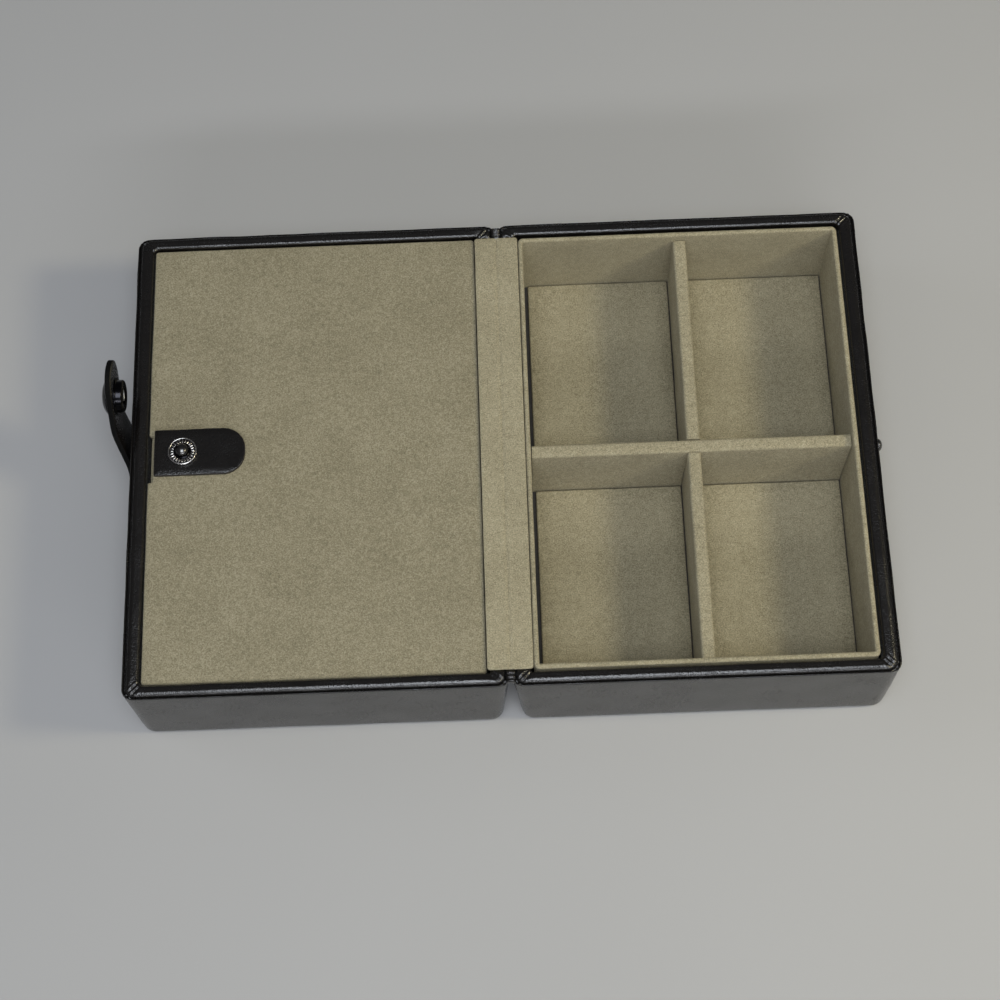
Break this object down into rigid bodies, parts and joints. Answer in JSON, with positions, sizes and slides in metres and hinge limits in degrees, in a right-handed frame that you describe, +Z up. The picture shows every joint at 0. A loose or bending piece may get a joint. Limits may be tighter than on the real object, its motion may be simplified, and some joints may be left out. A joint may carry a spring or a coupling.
{
  "type": "travel jewellery box",
  "caption": "Rectangular leather covered box that opens flat like a book: a suede tray with dividers in one half, a suede cover panel in the other, closed by a strap with a snap.",
  "frame": {"origin": "middle of the flat underside of the base half, which stands on the surface", "axes": "+Z up, +X from the lid half across the hinge towards the base half's stud, +Y along the hinge, away from the viewer in the picture"},
  "size_m": [0.2446, 0.158, 0.0562],
  "materials": {
    "dark_leather": "fine grained, satin",
    "khaki_suede": "brushed suede, matt",
    "grey_board": "raw paper board",
    "gunmetal": "polished gunmetal plating",
    "black_gunmetal": "polished black plating",
    "plated_steel": "plain plated"
  },
  "bodies": {
    "base": {"base_board": "grey_board", "base_cover": "dark_leather", "tray_liner": "khaki_suede", "tray_floor_pad_1": "khaki_suede", "tray_floor_pad_2": "khaki_suede", "tray_floor_pad_3": "khaki_suede", "tray_floor_pad_4": "khaki_suede", "long_divider": "khaki_suede", "cross_divider": "khaki_suede", "hinge_suede_base": "khaki_suede", "hinge_leather_base": "dark_leather", "closure_stud": "gunmetal", "closure_stud_post": "plated_steel"},
    "lid": {"lid_board": "grey_board", "lid_cover": "dark_leather", "lid_liner": "khaki_suede", "lid_floor_pad": "khaki_suede", "cover_panel_card": "grey_board", "cover_panel_suede": "khaki_suede", "panel_tab": "dark_leather", "tab_stud": "gunmetal", "tab_stud_post": "plated_steel", "hinge_suede_lid": "khaki_suede", "hinge_leather_lid": "dark_leather", "strap_rivet": "gunmetal"},
    "strap_end": {"strap_root": "dark_leather"},
    "strap": {"closure_strap": "dark_leather", "snap_socket": "gunmetal", "socket_spring": "plated_steel", "snap_cap": "black_gunmetal"}
  },
  "joints": [
    {"name": "lid_hinge", "type": "hinge", "parent": "base", "child": "lid", "pos_m": [-0.06, 0, 0.03715], "axis": [0, 1, 0], "range_deg": [0, 180]},
    {"name": "strap_swivel", "type": "hinge", "parent": "lid", "child": "strap_end", "pos_m": [-0.177, 0, 0.015], "axis": [1, 0, 0], "range_deg": [-29, 91]},
    {"name": "strap_fold", "type": "hinge", "parent": "strap_end", "child": "strap", "pos_m": [-0.1791, 0.00464, 0.02271], "axis": [0, -0.8572, 0.515], "range_deg": [0, 75]}
  ]
}
